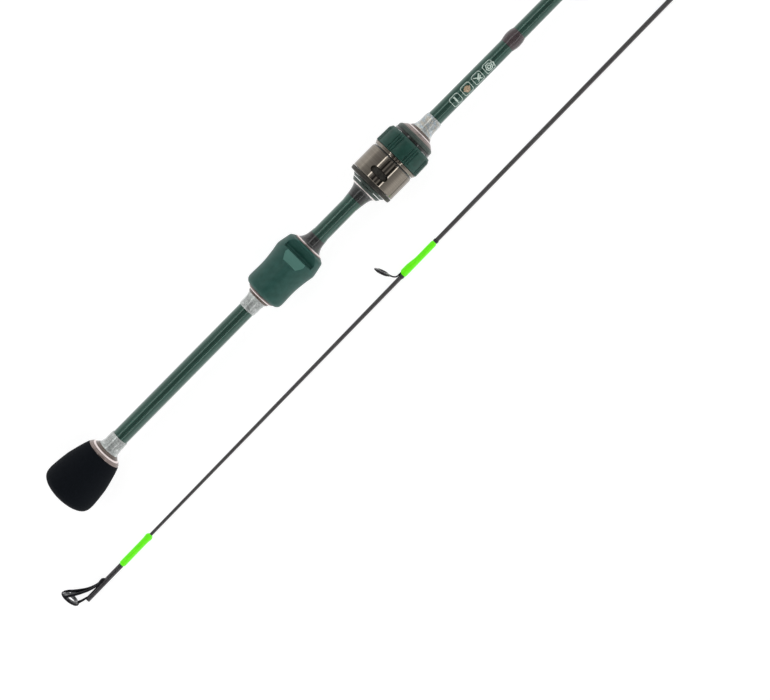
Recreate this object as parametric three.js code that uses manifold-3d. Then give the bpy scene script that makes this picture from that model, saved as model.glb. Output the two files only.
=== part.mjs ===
// A two-section ultralight spinning rod, taken apart and laid down: the handle section and, beside it,
// the tip section. Each section has its own group, with +X along its axis and +Z the way its guides
// point. The whole rod stands on z = 0 with the origin under the middle of its bounding box.

import * as THREE from "three";
import { mergeVertices } from "three/addons/utils/BufferGeometryUtils.js";
import Module from "manifold-3d";

const wasm = await Module();
wasm.setup();

// Driving dimensions, in millimetres and degrees.
const GAP = 0.3;
const ROUND_STEPS = 16;
const SEAT_STEPS = 24;
const SECTION_LENGTH = 775;

const HANDLE_AXIS_HEIGHT = 14.4;
const TIP_AXIS_HEIGHT = 2.9;
const TIP_START_X = -37.5;
const TIP_START_Y = -45.76;
const TIP_YAW = 0.48;
const TIP_ROLL = 20;

const BLANK_RADIUS = 4.4;
const BLANK_BORE_RADIUS = 3.5;
const MOUTH_RADIUS = 3.0;
const SOCKET_RADIUS = 2.3;
const SOCKET_DEPTH = 50;
const SOCKET_START_RADIUS = 3.15;
const ON_BLANK = BLANK_RADIUS + GAP;

const KNOB_START_X = 1.4;
const KNOB_END_X = 31.5;
const PLATFORM_HEIGHT = 8.4;
const POCKET_START_X = 162.1;
const POCKET_FLOOR = 7.4;
const POCKET_CEILING = 10;
const POCKET_RADIUS = 10.5;
const FACET_START_X = 164.6;
const LIP_X = 170.1;
const SCOOP_HALF_WIDTH = 9;
const CORE_RADIUS = 7.0;
const CORE_START_X = 219.6;
const CORE_END_X = 254.3;
const SHROUD_INNER_RADIUS = 11.6;
const SHROUD_RADIUS = 13.0;
const NUT_RADIUS = 13.65;
const NUT_BORE_RADIUS = 9.5;
const MOUTH_CEILING = 10.9;
const FOOT_HALF_WIDTH = 5.8;

const PLUG_LENGTH = 47;
const PLUG_RADIUS = 2.15;

// Colours, as sRGB.
const GREEN_GLOSS = 0x2c4c43;
const GREEN_MATTE = 0x2f534d;
const FOAM_BLACK = 0x0e131a;
const GUNMETAL = 0x87807a;
const BROWN_THREAD = 0x6e5f52;
const SILVER_CLOTH = 0xaaafac;
const CARBON_BLACK = 0x1c1d20;
const SHROUD_METAL = 0x8c8378;
const TIP_CHARCOAL = 0x3c393a;
const NEON_THREAD = 0x5ae214;
const GUIDE_BLACK = 0x141416;
const CERAMIC_GREY = 0x2a2b2e;

// Shared helpers.
function finish(color, roughness, metalness) {
  return new THREE.MeshStandardMaterial({ color, roughness, metalness });
}

const finishes = {
  gloss: () => finish(GREEN_GLOSS, 0.15, 0),
  matte: () => finish(GREEN_MATTE, 0.55, 0),
  foam: () => finish(FOAM_BLACK, 0.95, 0),
  gunmetal: () => finish(GUNMETAL, 0.25, 1),
  brown: () => finish(BROWN_THREAD, 0.35, 0),
  silver: () => finish(SILVER_CLOTH, 0.25, 0.3),
  carbon: () => finish(CARBON_BLACK, 0.2, 0),
  shroud: () => finish(SHROUD_METAL, 0.12, 1),
  charcoal: () => finish(TIP_CHARCOAL, 0.35, 0),
  neon: () => finish(NEON_THREAD, 0.3, 0),
  guide: () => finish(GUIDE_BLACK, 0.3, 0.6),
  ceramic: () => finish(CERAMIC_GREY, 0.15, 0),
};

// A solid of revolution about X. The profile is a list of [x, radius]: it either starts and ends on the
// axis or is a closed outline clear of it.
function latheX(profile, steps = ROUND_STEPS) {
  let area = 0;
  profile.forEach(([x, r], i) => {
    const [nextX, nextR] = profile[(i + 1) % profile.length];
    area += x * nextR - nextX * r;
  });
  const ordered = area < 0 ? profile : [...profile].reverse();
  const onAxis = ordered[0][1] === 0 && ordered.at(-1)[1] === 0;
  const outline = onAxis ? ordered : [...ordered, ordered[0]];
  const points = outline.map(([x, r]) => new THREE.Vector2(r, x));
  return new THREE.LatheGeometry(points, steps).rotateZ(-Math.PI / 2);
}

// A sleeve with the given outside profile and a plain bore.
function sleeve(outside, bore, steps = ROUND_STEPS) {
  return latheX([...outside, [outside.at(-1)[0], bore], [outside[0][0], bore]], steps);
}

function cylinder(startX, endX, radius, steps = ROUND_STEPS) {
  return latheX([[startX, 0], [startX, radius], [endX, radius], [endX, 0]], steps);
}

function ring(startX, endX, bore, radius, steps = ROUND_STEPS) {
  return sleeve([[startX, radius], [endX, radius]], bore, steps);
}

// A box between two corners.
function block(low, high) {
  const size = high.map((v, i) => v - low[i]);
  const middle = high.map((v, i) => (v + low[i]) / 2);
  return new THREE.BoxGeometry(...size).translate(...middle);
}

// A solid with the given outline in the X-Z plane, between -halfWidth and +halfWidth in Y.
function plate(outline, halfWidth) {
  const shape = new THREE.Shape(outline.map(([x, z]) => new THREE.Vector2(x, z)));
  const options = { depth: 2 * halfWidth, bevelEnabled: false };
  return new THREE.ExtrudeGeometry(shape, options).rotateX(Math.PI / 2).translate(0, halfWidth, 0);
}

// A round wire along a smooth curve through the points.
function wire(points, radius, steps, sides = 6) {
  const section = new THREE.Shape();
  for (let i = 0; i < sides; i += 1) {
    const turn = (2 * Math.PI * i) / sides;
    const move = i ? "lineTo" : "moveTo";
    section[move](radius * Math.cos(turn), radius * Math.sin(turn));
  }
  const path = new THREE.CatmullRomCurve3(points.map((p) => new THREE.Vector3(...p)));
  return new THREE.ExtrudeGeometry(section, { steps, bevelEnabled: false, extrudePath: path });
}

// A ring of round wire whose axis is X, centred at the given height and leaning towards -X.
function hoop(radius, wireRadius, height, lean, steps = 16) {
  const geometry = new THREE.TorusGeometry(radius, wireRadius, 6, steps).rotateY(Math.PI / 2);
  return geometry.rotateY(-THREE.MathUtils.degToRad(lean)).translate(0, 0, height);
}

// A flat ring of rectangular section, placed like a hoop.
function insertRing(outerRadius, innerRadius, halfThickness, height, lean) {
  const flat = ring(-halfThickness, halfThickness, innerRadius, outerRadius);
  return flat.rotateY(-THREE.MathUtils.degToRad(lean)).translate(0, 0, height);
}

function solid(geometry) {
  const plain = geometry.index ? geometry.toNonIndexed() : geometry.clone();
  plain.deleteAttribute("normal");
  plain.deleteAttribute("uv");
  const merged = mergeVertices(plain, 1e-3);
  const vertProperties = merged.attributes.position.array;
  const triVerts = new Uint32Array(merged.index.array);
  return new wasm.Manifold(new wasm.Mesh({ numProp: 3, vertProperties, triVerts }));
}

function geometryOf(manifold) {
  const { vertProperties, triVerts } = manifold.getMesh();
  const geometry = new THREE.BufferGeometry();
  geometry.setAttribute("position", new THREE.BufferAttribute(new Float32Array(vertProperties), 3));
  geometry.setIndex(new THREE.BufferAttribute(new Uint32Array(triVerts), 1));
  return geometry.toNonIndexed();
}

function join(...geometries) {
  return geometryOf(geometries.map(solid).reduce((sum, next) => sum.add(next)));
}

function cut(body, ...tools) {
  return geometryOf(tools.map(solid).reduce((rest, tool) => rest.subtract(tool), solid(body)));
}

function common(a, b) {
  return geometryOf(solid(a).intersect(solid(b)));
}

function add(group, name, geometry, material) {
  const mesh = new THREE.Mesh(geometry, material);
  mesh.name = name;
  geometry.computeVertexNormals();
  group.add(mesh);
}

// The foam knob at the butt, with its blind bore, and the stack of trim rings in front of it.
function gripEnd(section) {
  const knob = latheX([
    [KNOB_START_X, 0],
    [1.6, 4.8],
    [2.2, 8.4],
    [3.2, 11.2],
    [4.6, 13.2],
    [6.4, 14.2],
    [9, HANDLE_AXIS_HEIGHT],
    [12, 14.2],
    [16, 13.8],
    [20, 13.2],
    [24, 12.2],
    [28, 11.1],
    [KNOB_END_X, 9.9],
    [KNOB_END_X, ON_BLANK],
    [9, ON_BLANK],
    [9, 0],
  ]);
  add(section, "grip_knob", knob, finishes.foam());
  const check = sleeve([[31.8, 9.6], [32.4, 9.2], [33.2, 8.4]], ON_BLANK);
  add(section, "grip_check", check, finishes.gunmetal());
  const wind = sleeve([[33.5, 7.4], [34.2, 6.6], [35.1, 5.9]], ON_BLANK);
  add(section, "grip_wind", wind, finishes.brown());
  const cloth = sleeve([[35.4, 5.6], [36.2, 5.3], [38, 5], [43.3, 4.95]], ON_BLANK);
  add(section, "grip_sleeve", cloth, finishes.silver());
}

// The hollow tapered blank of the handle section, and the socket at its mouth that takes the plug.
function handleBlank(section) {
  const socketX = SECTION_LENGTH - SOCKET_DEPTH;
  const blank = latheX([
    [9.5, 0],
    [9.5, BLANK_RADIUS],
    [222, BLANK_RADIUS],
    [262, 4.3],
    [300, 4.05],
    [346, 3.93],
    [socketX, SOCKET_START_RADIUS],
    [socketX, SOCKET_RADIUS],
    [346, 3],
    [262, BLANK_BORE_RADIUS],
    [12, BLANK_BORE_RADIUS],
    [12, 0],
  ]);
  add(section, "handle_blank", blank, finishes.gloss());
  const socket = sleeve(
    [[socketX + GAP, SOCKET_START_RADIUS], [SECTION_LENGTH, MOUTH_RADIUS]],
    SOCKET_RADIUS,
  );
  add(section, "ferrule_socket", socket, finishes.gloss());
  const band = sleeve([[318.8, 4.4], [321, 4.75], [324, 4.75], [326.8, 4.4]], 4.25);
  add(section, "blank_band", band, finishes.gunmetal());
  const wrap = sleeve([[747, 3.45], [748.5, 3.75], [772, 3.7], [774, 3.4]], 3.32);
  add(section, "ferrule_wrap", wrap, finishes.neon());
  add(section, "ferrule_end_trim", ring(743, 746.7, 3.35, 3.55), finishes.gunmetal());
}

// The fixed rear hood with its reel-foot pocket, and the trim behind and in front of it.
function rearHood(section) {
  const cloth = sleeve([[133.5, 4.95], [138.4, 5], [140.4, 5.4], [141.1, 5.8]], ON_BLANK);
  add(section, "rear_sleeve", cloth, finishes.silver());
  add(section, "rear_wind", ring(141.4, 142.3, ON_BLANK, 6.4), finishes.brown());
  const check = sleeve([[142.6, 6.9], [143.6, 8.2]], ON_BLANK);
  add(section, "rear_check", check, finishes.gunmetal());

  const outside = [
    [143.9, 8.6],
    [144.5, 9.9],
    [146, 10.9],
    [148, 11.05],
    [152, 10.92],
    [156, 10.9],
    [160, 11.2],
    [164, 11.7],
    [166, 12.05],
    [168, 12.4],
    [170, 12.1],
    [172, 11.7],
    [174, 11.3],
    [176, 10.8],
    [176.8, 9.7],
  ];
  const hood = sleeve(outside, ON_BLANK, SEAT_STEPS);
  const past = LIP_X + 0.1;
  const facet = plate([[FACET_START_X, 11.1], [past, 10.6], [past, 16], [FACET_START_X, 16]], 14);
  const pocketBlock = block(
    [POCKET_START_X, -12, POCKET_FLOOR],
    [past, 12, POCKET_CEILING],
  );
  const pocketRound = cylinder(POCKET_START_X - 1, 180, POCKET_RADIUS, SEAT_STEPS);
  const scoop = plate(
    [
      [LIP_X, POCKET_FLOOR],
      [171.6, POCKET_FLOOR],
      [172.2, 7.9],
      [175.4, PLATFORM_HEIGHT],
      [180, PLATFORM_HEIGHT],
      [180, 16],
      [LIP_X, 16],
    ],
    SCOOP_HALF_WIDTH,
  );
  const opened = cut(hood, facet, common(pocketBlock, pocketRound), scoop);
  add(section, "rear_hood", opened, finishes.matte());

  const trim = cut(
    sleeve([[177.1, 9.2], [177.9, 8.4]], ON_BLANK, SEAT_STEPS),
    block([176, -10, PLATFORM_HEIGHT], [179, 10, 12]),
  );
  add(section, "rear_hood_trim", trim, finishes.gunmetal());
  const cone = sleeve(
    [[178.2, 6.9], [179, 6.3], [180, 5.75], [182, 5.1], [184, 4.95], [186, 4.9]],
    ON_BLANK,
  );
  add(section, "rear_cone", cone, finishes.carbon());
}

// The fixed part of the front seat: cone, check, collar, mouth flange, threaded core and shroud.
function frontSeat(section) {
  const cone = sleeve(
    [[207, 4.9], [210, 4.95], [212, 5.1], [214, 5.55], [215.6, 6.1], [216.4, 6.9]],
    ON_BLANK,
  );
  add(section, "front_cone", cone, finishes.carbon());
  const check = cut(
    sleeve([[216.7, 7.3], [217.6, 8.4], [218.7, 9.2]], ON_BLANK, SEAT_STEPS),
    block([216, -10, PLATFORM_HEIGHT], [219, 10, 12]),
  );
  add(section, "front_check", check, finishes.gunmetal());

  const collar = cut(
    sleeve([[219, 9.3], [219.6, 9.6], [220.2, 10.1]], CORE_RADIUS + GAP, SEAT_STEPS),
    block([218, -11, PLATFORM_HEIGHT], [221, 11, 14]),
  );
  add(section, "seat_collar", collar, finishes.matte());
  const flange = cut(
    sleeve([[220.5, 12.3], [221, 12.8], [222.5, SHROUD_RADIUS]], CORE_RADIUS + GAP, SEAT_STEPS),
    block([220, -FOOT_HALF_WIDTH, PLATFORM_HEIGHT], [223, FOOT_HALF_WIDTH, MOUTH_CEILING]),
  );
  add(section, "seat_flange", flange, finishes.matte());

  const saddle = block([223.2, -4, 5], [227.3, 4, PLATFORM_HEIGHT]);
  const key = block([228.5, -1, -7.9], [249.5, 1, -6]);
  const core = join(ring(CORE_START_X, CORE_END_X, ON_BLANK, CORE_RADIUS), saddle, key);
  add(section, "seat_core", core, finishes.carbon());

  const window = new THREE.CapsuleGeometry(1.6, 7.3, 3, 8).translate(227.9, 0, 12.5);
  const shroud = cut(ring(222.8, 236.9, SHROUD_INNER_RADIUS, SHROUD_RADIUS, SEAT_STEPS), window);
  add(section, "seat_shroud", shroud, finishes.shroud());
}

// The hood that the nut drives along the core: a roof over the reel foot, a flange and a threaded sleeve.
function movingHood(section) {
  const roofRing = ring(225.6, 231.2, MOUTH_CEILING - 0.5, SHROUD_INNER_RADIUS - GAP, SEAT_STEPS);
  const roof = common(roofRing, block([225, -8, 3], [232, 8, 12]));
  const flange = ring(230.8, 232.8, CORE_RADIUS + GAP, SHROUD_INNER_RADIUS - GAP, SEAT_STEPS);
  const threadSleeve = ring(232, 244, CORE_RADIUS + GAP, NUT_BORE_RADIUS - GAP, SEAT_STEPS);
  const keyway = block([220, -1.35, -8.3], [250, 1.35, -6]);
  add(section, "moving_hood", cut(join(roof, flange, threadSleeve), keyway), finishes.carbon());
}

// The locking nut, its metal bezel and the rings that hold it at the front.
function lockingNut(section) {
  const bezelBore = SHROUD_INNER_RADIUS + 0.1;
  const bezel = sleeve([[237.7, 12.8], [238.1, 13.2], [239.3, 13.5]], bezelBore, SEAT_STEPS);
  add(section, "nut_bezel", bezel, finishes.shroud());
  const nut = sleeve(
    [[239.6, NUT_RADIUS], [248.4, 13.45], [250.3, 12.3]],
    NUT_BORE_RADIUS,
    SEAT_STEPS,
  );
  add(section, "locking_nut", nut, finishes.matte());
}

function seatFront(section) {
  const endRing = sleeve(
    [[250.6, 10.6], [252.3, 10.6], [252.5, 10.95], [254.2, 10.95], [254.4, 10.6]],
    CORE_RADIUS + GAP,
    SEAT_STEPS,
  );
  add(section, "seat_end_ring", endRing, finishes.matte());
  add(section, "seat_check", sleeve([[254.7, 9.8], [256.3, 7.4]], ON_BLANK), finishes.gunmetal());
  add(section, "seat_wind", ring(256.6, 258, ON_BLANK, 6.5), finishes.brown());
  const cloth = sleeve([[258.3, 6], [260, 5.2], [262, 4.95], [267, 4.9]], ON_BLANK);
  add(section, "seat_sleeve", cloth, finishes.silver());
}

// A line guide: a wire hoop on one or two legs, a ceramic insert, thread wraps over the feet and trims.
// The hoop's middle is over x; feet are laid on a blank of the given radius.
function lineGuide(section, spec) {
  const { name, x, blankRadius, ringRadius, height, lean, legWire, feet, wrapRadius } = spec;
  const hoopWire = 0.45;
  const seatRadius = ringRadius - hoopWire;
  const tilt = THREE.MathUtils.degToRad(lean);
  const bottomX = seatRadius * Math.sin(tilt);
  const bottomZ = height - seatRadius * Math.cos(tilt);
  const footZ = blankRadius + GAP + legWire;
  const pieces = [hoop(seatRadius, hoopWire, height, lean)];
  feet.forEach(({ side, reach, length }) => {
    const leg = [
      [bottomX, 0, bottomZ],
      [bottomX + side * reach * 0.3, 0, bottomZ + (footZ - bottomZ) * 0.55],
      [bottomX + side * reach, 0, footZ],
      [bottomX + side * (reach + 2), 0, footZ],
    ];
    const footStart = bottomX + side * reach;
    const footEnd = footStart + side * length;
    const ends = [footStart, footEnd].sort((a, b) => a - b);
    const low = [ends[0], -legWire * 1.4, blankRadius + GAP];
    const high = [ends[1], legWire * 1.4, blankRadius + GAP + 0.5];
    pieces.push(wire(leg, legWire, 8), block(low, high));
    const wrapStart = footStart + side * 2.6;
    const wrapEnd = wrapStart + side * (length + 13.3);
    const [a, b] = [wrapStart, wrapEnd].sort((p, q) => p - q);
    const tube = sleeve(
      [[a, wrapRadius - 0.3], [a + 1.2, wrapRadius], [b - 1.2, wrapRadius], [b, wrapRadius - 0.3]],
      blankRadius + GAP - 0.05,
      16,
    );
    const [slotLow, slotHigh] = [wrapStart - side, footEnd + side * 0.4].sort((p, q) => p - q);
    const slot = block(
      [slotLow, -legWire * 1.4 - GAP, 0],
      [slotHigh, legWire * 1.4 + GAP, height],
    );
    const suffix = feet.length > 1 ? (side > 0 ? "_rear" : "_front") : "";
    add(section, name + "_wrap" + suffix, cut(tube, slot).translate(x, 0, 0), finishes.neon());
  });
  add(section, name + "_frame", join(...pieces).translate(x, 0, 0), finishes.guide());
  const insertRadius = seatRadius - hoopWire - 0.15;
  const insert = insertRing(insertRadius, insertRadius - 1, 0.7, height, lean);
  add(section, name + "_insert", insert.translate(x, 0, 0), finishes.ceramic());
}

// The solid tip blank and the plug that goes into the handle section's mouth.
function tipBlank(section) {
  const blank = latheX(
    [
      [9.5, 0],
      [9.5, 0.72],
      [60, 0.85],
      [150, 1],
      [220, 1.1],
      [426, 1.3],
      [600, 1.5],
      [SECTION_LENGTH - 0.3, 1.65],
      [SECTION_LENGTH - 0.3, 0],
    ],
    16,
  );
  add(section, "tip_blank", blank, finishes.charcoal());
  const plugStart = SECTION_LENGTH - PLUG_LENGTH;
  const plug = sleeve(
    [[plugStart, PLUG_RADIUS], [SECTION_LENGTH - 1, PLUG_RADIUS], [SECTION_LENGTH, PLUG_RADIUS - 0.3]],
    1.95,
    16,
  );
  add(section, "ferrule_plug", plug, finishes.carbon());
  const wrap = sleeve([[706, 2.1], [707.5, 2.4], [726, 2.4], [plugStart - 0.3, 2.25]], 1.92, 16);
  add(section, "plug_wrap", wrap, finishes.neon());
}

// The tip-top: a tube over the blank's end, a hoop on two legs and a strut, a ceramic insert and a wrap.
function tipTop(section) {
  const ringRadius = 5.35;
  const hoopWire = 0.45;
  const lean = 6;
  const height = 7.25;
  const hoopX = 2.6;
  const tubeRadius = 1.35;
  const tube = ring(7.8, 31.9, 1.05, tubeRadius, 16);
  const legs = [-1, 1].map((side) =>
    wire(
      [
        [hoopX + 0.3, side * 2.75, height + 4.25],
        [hoopX + 3.4, side * 2.1, 7.9],
        [hoopX + 9, side * 1.2, 3.6],
        [18, side * 0.6, 1.75],
        [21, side * 0.5, 1.5],
      ],
      0.6,
      9,
    ),
  );
  const web = common(
    plate(
      [
        [4.9, 9.5],
        [6.2, 8.1],
        [8.6, 5.9],
        [11.7, 3.95],
        [15, 2.6],
        [18.5, 2],
        [18.5, 1.45],
        [14.8, 1.95],
        [11.3, 3.2],
        [8.1, 5.2],
        [5.7, 7.4],
        [4.5, 8.7],
      ],
      3,
    ),
    plate([[3, -2.5], [18.6, -0.6], [18.6, 0.6], [3, 2.5]], 8)
      .rotateX(-Math.PI / 2)
      .translate(0, 0, 6),
  );
  const strutEnd = [8.6, 0, 1.2];
  const strut = wire([[hoopX + 0.5, 0, height - 5.2], [hoopX + 3, 0, 1.7], strutEnd], 0.4, 6);
  const braze = block([18, -0.9, 1.15], [21.6, 0.9, 2.3]);
  const frameHoop = hoop(ringRadius - hoopWire, hoopWire, height, lean).translate(hoopX, 0, 0);
  const frame = join(tube, frameHoop, ...legs, web, strut, braze);
  add(section, "tip_top_frame", frame, finishes.guide());
  const insertRadius = ringRadius - 2 * hoopWire - 0.15;
  const insert = insertRing(insertRadius, 3.05, 0.6, height, lean).translate(hoopX, 0, 0);
  add(section, "tip_top_insert", insert, finishes.ceramic());
  const wrap = sleeve([[32.2, 1.6], [33.5, 1.75], [49.8, 1.7], [52.3, 2.05], [54, 1.4]], 1.12, 16);
  add(section, "tip_top_wrap", wrap, finishes.neon());
}

const handleSection = new THREE.Group();
handleSection.position.set(0, 0, HANDLE_AXIS_HEIGHT);
gripEnd(handleSection);
handleBlank(handleSection);
rearHood(handleSection);
frontSeat(handleSection);
movingHood(handleSection);
lockingNut(handleSection);
seatFront(handleSection);
lineGuide(handleSection, {
  name: "handle_guide",
  x: 590,
  blankRadius: 3.42,
  ringRadius: 8.5,
  height: 15,
  lean: 8,
  legWire: 0.7,
  feet: [{ side: 1, reach: 9, length: 9 }, { side: -1, reach: 6, length: 9 }],
  wrapRadius: 4.3,
});

const tipSection = new THREE.Group();
tipSection.position.set(TIP_START_X, TIP_START_Y, TIP_AXIS_HEIGHT);
const roll = THREE.MathUtils.degToRad(TIP_ROLL - 90);
tipSection.rotation.set(roll, 0, THREE.MathUtils.degToRad(TIP_YAW), "ZYX");
tipTop(tipSection);
tipBlank(tipSection);
[
  { name: "tip_guide_1", x: 231.4, blankRadius: 1.12, ringRadius: 4.5, height: 9.1, reach: 2.1 },
  { name: "tip_guide_2", x: 452, blankRadius: 1.34, ringRadius: 5.4, height: 10.2, reach: 2.6 },
  { name: "tip_guide_3", x: 640, blankRadius: 1.56, ringRadius: 6.8, height: 11.6, reach: 3.4 },
].forEach(({ reach, ...spec }) =>
  lineGuide(tipSection, {
    ...spec,
    lean: 20,
    legWire: 0.42,
    feet: [{ side: 1, reach, length: 10 }],
    wrapRadius: spec.blankRadius + 0.65,
  }),
);

const rod = new THREE.Group();
rod.add(handleSection, tipSection);
const bounds = new THREE.Box3().setFromObject(rod, true);
const middle = bounds.getCenter(new THREE.Vector3());
rod.position.set(-middle.x, -middle.y, -bounds.min.z);

export default rod;
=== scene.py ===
import math

import bmesh
import bpy
from mathutils import Matrix, Vector


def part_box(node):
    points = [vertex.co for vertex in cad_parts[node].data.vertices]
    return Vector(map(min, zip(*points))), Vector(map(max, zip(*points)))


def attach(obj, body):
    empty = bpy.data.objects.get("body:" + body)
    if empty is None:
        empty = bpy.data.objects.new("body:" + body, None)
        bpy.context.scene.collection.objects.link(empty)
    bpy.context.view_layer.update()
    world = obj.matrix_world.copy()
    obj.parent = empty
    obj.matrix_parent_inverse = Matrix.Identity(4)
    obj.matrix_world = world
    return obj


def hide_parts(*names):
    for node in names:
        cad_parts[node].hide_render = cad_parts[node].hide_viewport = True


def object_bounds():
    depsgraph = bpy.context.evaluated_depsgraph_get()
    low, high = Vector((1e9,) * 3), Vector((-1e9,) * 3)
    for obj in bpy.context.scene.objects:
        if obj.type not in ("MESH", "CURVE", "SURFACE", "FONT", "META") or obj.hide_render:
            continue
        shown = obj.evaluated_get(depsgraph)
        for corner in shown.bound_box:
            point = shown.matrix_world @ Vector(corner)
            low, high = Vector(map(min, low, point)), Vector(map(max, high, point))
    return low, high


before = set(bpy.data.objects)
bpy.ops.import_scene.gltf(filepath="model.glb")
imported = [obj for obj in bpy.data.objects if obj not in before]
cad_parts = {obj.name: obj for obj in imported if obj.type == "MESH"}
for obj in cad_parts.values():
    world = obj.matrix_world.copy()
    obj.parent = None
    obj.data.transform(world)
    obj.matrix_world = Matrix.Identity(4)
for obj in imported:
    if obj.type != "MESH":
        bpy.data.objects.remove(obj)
cad_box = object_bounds()

# Both rod sections are built in millimetres, with +X along the section and +Z the way its guides point.
MM = 0.001
HANDLE_RADIUS = 14.4
TIP_START = Vector((-37.5, -45.76, 2.9 - HANDLE_RADIUS))
TIP_YAW = math.radians(0.48)
TIP_ROLL = math.radians(20 - 90)
SECTION_LENGTH = 775

KNOB_START = 1.4
BLANK = [
    (9.5, 4.4), (222, 4.4), (262, 4.3), (270, 4.12), (300, 4.05), (346, 3.93), (500, 3.62), (724.8, 3.15),
]

knob_low, knob_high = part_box("grip_knob")
knob_middle = (knob_low + knob_high) / 2
HANDLE = (
    Matrix.Translation((knob_low.x - KNOB_START * MM, knob_middle.y, knob_middle.z))
    @ Matrix.Scale(MM, 4)
)
TIP = (
    HANDLE
    @ Matrix.Translation(TIP_START)
    @ Matrix.Rotation(TIP_YAW, 4, "Z")
    @ Matrix.Rotation(TIP_ROLL, 4, "X")
)


# ---------------------------------------------------------------- outlines


def rounded(points, radius=0.15, steps=3):
    """The outline with each corner of over 12 degrees replaced by a short curve."""
    pts = [Vector(p) for p in points]
    out = [pts[0]]
    for a, b, c in zip(pts, pts[1:], pts[2:]):
        before, after = b - a, c - b
        turn = before.angle(after, 0)
        if turn < math.radians(12):
            out.append(b)
            continue
        reach = min(radius * math.tan(turn / 2), 0.45 * before.length, 0.45 * after.length)
        start, end = b - before.normalized() * reach, b + after.normalized() * reach
        for i in range(steps + 1):
            t = i / steps
            out.append(start * (1 - t) ** 2 + b * 2 * t * (1 - t) + end * t**2)
    return [tuple(p) for p in out + [pts[-1]]]


def flowing(points, steps=6):
    """A smooth curve through the points (Catmull-Rom)."""
    pts = [Vector(p) for p in points]
    pts = [2 * pts[0] - pts[1], *pts, 2 * pts[-1] - pts[-2]]
    out = []
    for p0, p1, p2, p3 in zip(pts, pts[1:], pts[2:], pts[3:]):
        for i in range(steps):
            t = i / steps
            out.append(
                0.5
                * (
                    2 * p1
                    + (p2 - p0) * t
                    + (2 * p0 - 5 * p1 + 4 * p2 - p3) * t * t
                    + (3 * p1 - p0 - 3 * p2 + p3) * t**3
                )
            )
    return [tuple(p) for p in out + [pts[-2]]]


def bored(outside, bore):
    """A closed outline: the outside, then back along a plain bore."""
    return [*outside, (outside[-1][0], bore), (outside[0][0], bore), outside[0]]


# ---------------------------------------------------------------- meshes, in millimetres


def mesh_from(verts, faces, uvs=None, sharp=35):
    mesh = bpy.data.meshes.new("mesh")
    mesh.from_pydata(verts, [], faces)
    if uvs:
        layer = mesh.uv_layers.new(name="skin")
        layer.data.foreach_set("uv", [c for uv in uvs for c in uv])
    bm = bmesh.new()
    bm.from_mesh(mesh)
    bmesh.ops.recalc_face_normals(bm, faces=bm.faces)
    bm.to_mesh(mesh)
    bm.free()
    mesh.polygons.foreach_set("use_smooth", [True] * len(mesh.polygons))
    mesh.set_sharp_from_angle(angle=math.radians(sharp))
    return mesh


def turned(outline, steps=96, relief=None, sharp=35):
    """A mesh turned about X from [x, radius] points. relief(x, angle) is added to the radius.
    Its "skin" UV map holds the share of the turn and the distance along the outline in mm."""
    closed = outline[0] == outline[-1]
    pts = list(outline)
    run = [0.0]
    for a, b in zip(pts, pts[1:]):
        run.append(run[-1] + math.dist(a, b))
    rows, verts = [], []
    for i, (x, r) in enumerate(pts):
        if closed and i == len(pts) - 1:
            rows.append(rows[0])
            continue
        if r == 0:
            rows.append([len(verts)] * steps)
            verts.append((x, 0, 0))
            continue
        rows.append(list(range(len(verts), len(verts) + steps)))
        for j in range(steps):
            angle = 2 * math.pi * j / steps
            reach = r + (relief(x, angle) if relief else 0)
            verts.append((x, -reach * math.sin(angle), reach * math.cos(angle)))
    faces, uvs = [], []
    for i in range(len(pts) - 1):
        for j in range(steps):
            k = (j + 1) % steps
            corners = [
                (rows[i][j], j / steps, run[i]),
                (rows[i][k], (j + 1) / steps, run[i]),
                (rows[i + 1][k], (j + 1) / steps, run[i + 1]),
                (rows[i + 1][j], j / steps, run[i + 1]),
            ]
            if corners[0][0] == corners[1][0]:
                corners.pop(0)
            elif corners[2][0] == corners[3][0]:
                corners.pop(3)
            faces.append([c[0] for c in corners])
            uvs += [(c[1], c[2]) for c in corners]
    return mesh_from(verts, faces, uvs, sharp)


def swept(path, radii, sides=16):
    """A closed tube along a path. radii are spread evenly along it."""
    pts = [Vector(p) for p in path]
    verts, faces = [], []
    for i, p in enumerate(pts):
        ahead = (pts[min(i + 1, len(pts) - 1)] - pts[max(i - 1, 0)]).normalized()
        side = ahead.cross(Vector((0, 0, 1)))
        side = side.normalized() if side.length > 0.05 else Vector((0, 1, 0))
        up = side.cross(ahead).normalized()
        at = i / (len(pts) - 1) * (len(radii) - 1)
        low = min(int(at), len(radii) - 2)
        r = radii[low] + (radii[low + 1] - radii[low]) * (at - low)
        for j in range(sides):
            a = 2 * math.pi * j / sides
            verts.append(tuple(p + side * r * math.cos(a) + up * r * math.sin(a)))
    for i in range(len(pts) - 1):
        for j in range(sides):
            k = (j + 1) % sides
            faces.append([i * sides + j, i * sides + k, (i + 1) * sides + k, (i + 1) * sides + j])
    faces.append(list(range(sides)))
    faces.append([(len(pts) - 1) * sides + j for j in range(sides)])
    return mesh_from(verts, faces)


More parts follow.
